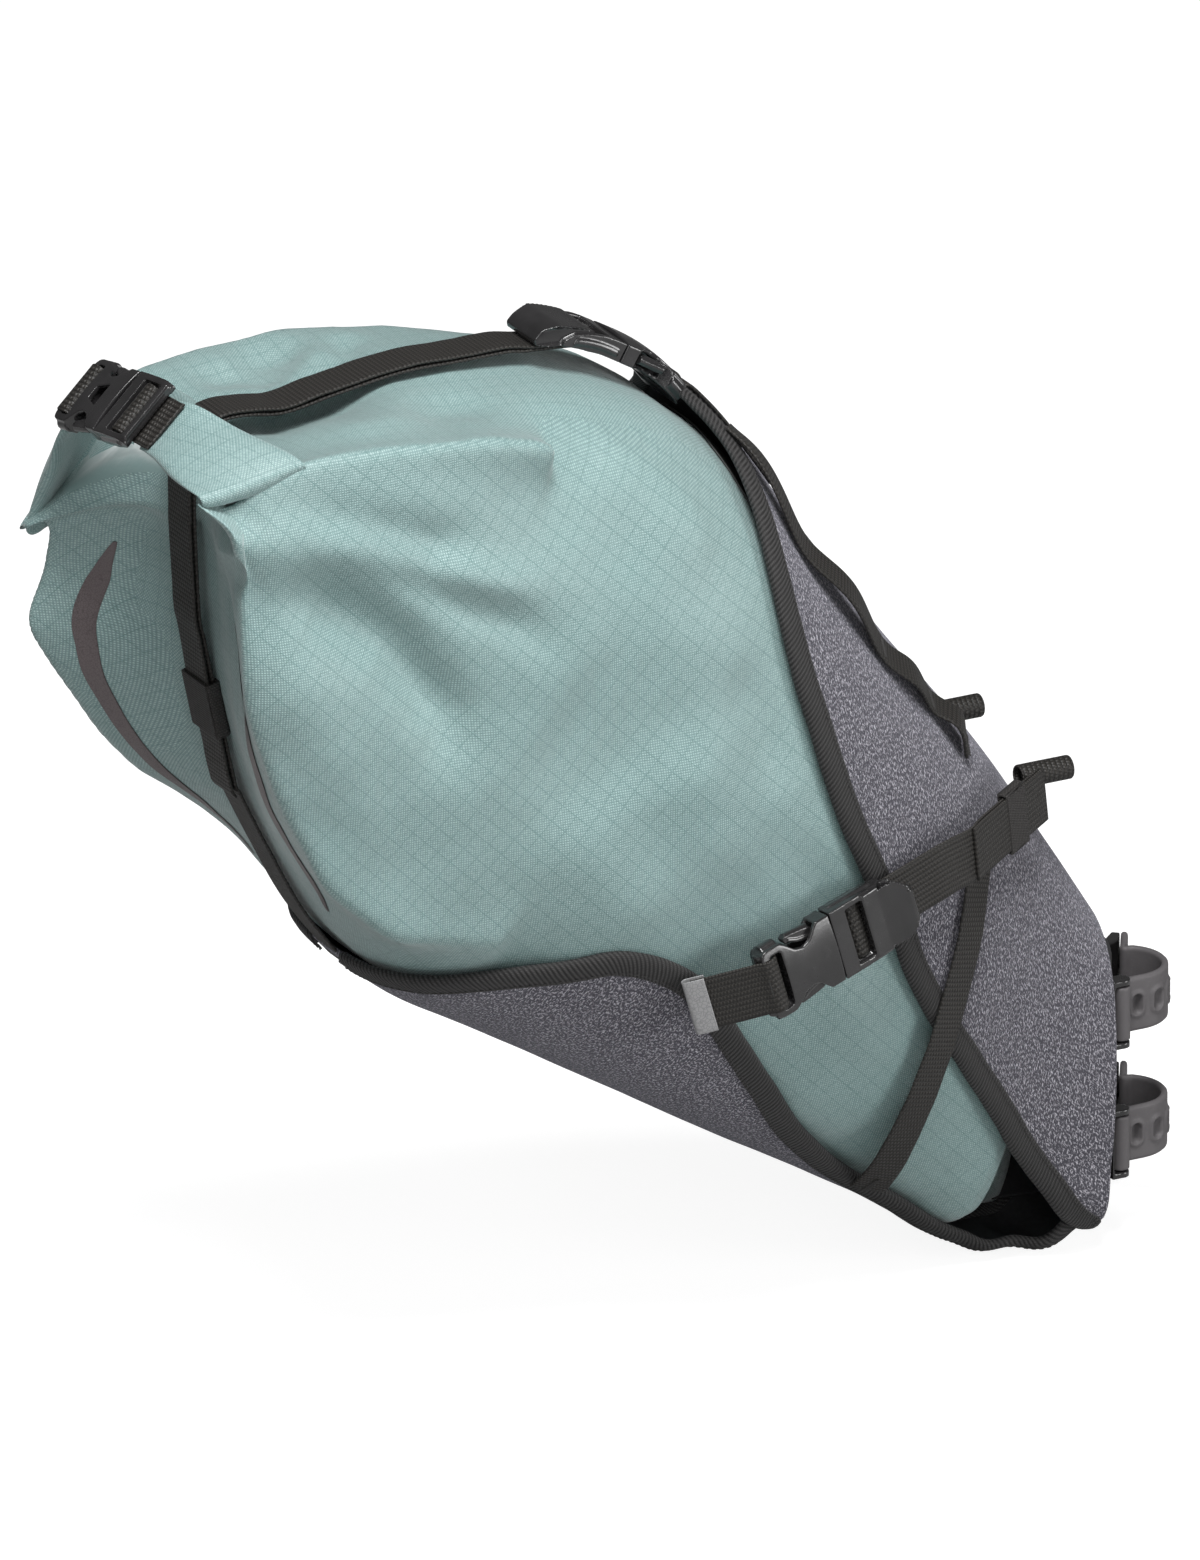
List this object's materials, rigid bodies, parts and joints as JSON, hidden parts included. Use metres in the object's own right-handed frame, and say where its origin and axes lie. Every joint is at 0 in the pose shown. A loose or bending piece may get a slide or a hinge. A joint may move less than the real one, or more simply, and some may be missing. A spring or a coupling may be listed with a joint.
{
  "type": "saddle bag",
  "caption": "Bikepacking saddle bag: roll-top dry bag in a padded harness with side-release buckles and rubber straps that close on a seat post.",
  "frame": {"origin": "on the seat post's axis, midway between the two rubber straps", "axes": "+Z along the seat post towards the saddle, +X forward away from the bag, +Y to the left; the bag reaches back and up along -X"},
  "size_m": [0.5166, 0.2222, 0.4743],
  "materials": {
    "ripstop": "coated ripstop weave, satin",
    "harness_fabric": "melange weave, matt",
    "binding_tape": "woven twill tape, matt",
    "stiffener": "polyethylene sheet",
    "reflective_print": "retroreflective print",
    "reflective_label": "retroreflective tape",
    "strap_rubber": "moulded, matt",
    "elastic": "woven elastic",
    "thread": "bonded sewing thread",
    "buckle_plastic": "moulded acetal, satin",
    "webbing": "ribbed nylon webbing"
  },
  "bodies": {
    "bag": {"dry_bag": "ripstop", "roll_closure": "ripstop", "closure_strip": "stiffener", "reflector_right": "reflective_print", "reflector_left": "reflective_print", "upper_harness": "harness_fabric", "lower_harness": "harness_fabric", "upper_stiffener": "stiffener", "base_stiffener": "stiffener", "upper_binding_right": "binding_tape", "upper_binding_left": "binding_tape", "lower_binding_right": "binding_tape", "lower_binding_left": "binding_tape", "front_panel": "harness_fabric", "grip_pad": "strap_rubber", "daisy_right": "webbing", "daisy_left": "webbing", "side_strap_right": "webbing", "side_strap_left": "webbing", "rail_loop_right": "webbing", "rail_loop_left": "webbing", "stabiliser_right": "webbing", "stabiliser_left": "webbing", "side_tab_right": "webbing", "side_tab_left": "webbing", "side_label_right": "reflective_label", "side_label_left": "reflective_label", "side_female_right": "buckle_plastic", "side_female_left": "buckle_plastic", "tail_strap": "webbing", "tail_free_end": "webbing", "top_anchor": "webbing", "top_female": "buckle_plastic", "roll_female": "buckle_plastic", "roll_tab": "webbing", "strap_mount_upper": "buckle_plastic", "strap_mount_lower": "buckle_plastic", "bar_tacks": "thread"},
    "side_buckle_right": {"side_male_right": "buckle_plastic", "side_turn_right": "webbing"},
    "side_arm_top_right": {"side_arm_top_right": "buckle_plastic"},
    "side_arm_low_right": {"side_arm_low_right": "buckle_plastic"},
    "side_buckle_left": {"side_male_left": "buckle_plastic", "side_turn_left": "webbing"},
    "side_arm_top_left": {"side_arm_top_left": "buckle_plastic"},
    "side_arm_low_left": {"side_arm_low_left": "buckle_plastic"},
    "top_buckle": {"top_male": "buckle_plastic", "top_turn": "webbing"},
    "top_arm_right": {"top_arm_right": "buckle_plastic"},
    "top_arm_left": {"top_arm_left": "buckle_plastic"},
    "roll_buckle": {"roll_male": "buckle_plastic", "roll_web": "webbing"},
    "roll_arm_front": {"roll_arm_front": "buckle_plastic"},
    "roll_arm_rear": {"roll_arm_rear": "buckle_plastic"},
    "post_strap_upper": {"strap_upper": "strap_rubber"},
    "post_strap_lower": {"strap_lower": "strap_rubber"},
    "side_keeper_right": {"keeper_right": "elastic"},
    "side_keeper_left": {"keeper_left": "elastic"},
    "tail_keeper": {"tail_keeper": "elastic"}
  },
  "joints": [
    {"name": "side_right_release", "type": "slide", "parent": "bag", "child": "side_buckle_right", "axis": [0.9511, 0.1402, 0.2753], "range_m": [0, 0.026]},
    {"name": "side_arm_top_right_flex", "type": "hinge", "parent": "side_buckle_right", "child": "side_arm_top_right", "pos_m": [-0.19613, -0.09934, 0.13518], "axis": [0.1321, -0.9901, 0.0477], "range_deg": [0, 14]},
    {"name": "side_arm_low_right_flex", "type": "hinge", "parent": "side_buckle_right", "child": "side_arm_low_right", "pos_m": [-0.19026, -0.09953, 0.11502], "axis": [0.1321, -0.9901, 0.0477], "range_deg": [-14, 0]},
    {"name": "side_left_release", "type": "slide", "parent": "bag", "child": "side_buckle_left", "axis": [0.9511, -0.1402, 0.2753], "range_m": [0, 0.026]},
    {"name": "side_arm_top_left_flex", "type": "hinge", "parent": "side_buckle_left", "child": "side_arm_top_left", "pos_m": [-0.19613, 0.09934, 0.13518], "axis": [0.1321, 0.9901, 0.0477], "range_deg": [-14, 0]},
    {"name": "side_arm_low_left_flex", "type": "hinge", "parent": "side_buckle_left", "child": "side_arm_low_left", "pos_m": [-0.19026, 0.09953, 0.11502], "axis": [0.1321, 0.9901, 0.0477], "range_deg": [0, 14]},
    {"name": "top_release", "type": "slide", "parent": "bag", "child": "top_buckle", "axis": [-0.8631, 0, 0.5051], "range_m": [0, 0.026]},
    {"name": "top_arm_right_flex", "type": "hinge", "parent": "top_buckle", "child": "top_arm_right", "pos_m": [-0.25545, -0.0105, 0.37602], "axis": [0.5051, 0, 0.8631], "range_deg": [0, 14]},
    {"name": "top_arm_left_flex", "type": "hinge", "parent": "top_buckle", "child": "top_arm_left", "pos_m": [-0.25545, 0.0105, 0.37602], "axis": [0.5051, 0, 0.8631], "range_deg": [-14, 0]},
    {"name": "roll_release", "type": "slide", "parent": "bag", "child": "roll_buckle", "axis": [0, -0.9823, 0.1871], "range_m": [0, 0.026]},
    {"name": "roll_arm_front_flex", "type": "hinge", "parent": "roll_buckle", "child": "roll_arm_front", "pos_m": [-0.47198, 0.00134, 0.39241], "axis": [-0.6459, 0.1428, 0.7499], "range_deg": [0, 14]},
    {"name": "roll_arm_rear_flex", "type": "hinge", "parent": "roll_buckle", "child": "roll_arm_rear", "pos_m": [-0.48802, -0.0012, 0.37909], "axis": [-0.6459, 0.1428, 0.7499], "range_deg": [-14, 0]},
    {"name": "post_strap_upper_open", "type": "hinge", "parent": "bag", "child": "post_strap_upper", "pos_m": [-0.0146, -0.0235, 0.03], "axis": [0, 0, -1], "range_deg": [0, 100]},
    {"name": "post_strap_lower_open", "type": "hinge", "parent": "bag", "child": "post_strap_lower", "pos_m": [-0.0146, -0.0235, -0.03], "axis": [0, 0, -1], "range_deg": [0, 100]},
    {"name": "side_keeper_right_slide", "type": "slide", "parent": "bag", "child": "side_keeper_right", "axis": [0.8505, 0.5103, 0.1276], "range_m": [-0.01, 0.01]},
    {"name": "side_keeper_left_slide", "type": "slide", "parent": "bag", "child": "side_keeper_left", "axis": [0.8505, -0.5103, 0.1276], "range_m": [-0.01, 0.01]},
    {"name": "tail_keeper_slide", "type": "slide", "parent": "bag", "child": "tail_keeper", "axis": [-0.2075, 0, 0.9782], "range_m": [-0.015, 0.015]}
  ],
  "couplings": [
    {"joint": "side_arm_top_right_flex", "follows": "side_right_release", "rad_per_m": 9},
    {"joint": "side_arm_low_right_flex", "follows": "side_right_release", "rad_per_m": -9},
    {"joint": "side_arm_top_left_flex", "follows": "side_left_release", "rad_per_m": -9},
    {"joint": "side_arm_low_left_flex", "follows": "side_left_release", "rad_per_m": 9},
    {"joint": "top_arm_right_flex", "follows": "top_release", "rad_per_m": 9},
    {"joint": "top_arm_left_flex", "follows": "top_release", "rad_per_m": -9},
    {"joint": "roll_arm_front_flex", "follows": "roll_release", "rad_per_m": 9},
    {"joint": "roll_arm_rear_flex", "follows": "roll_release", "rad_per_m": -9}
  ]
}
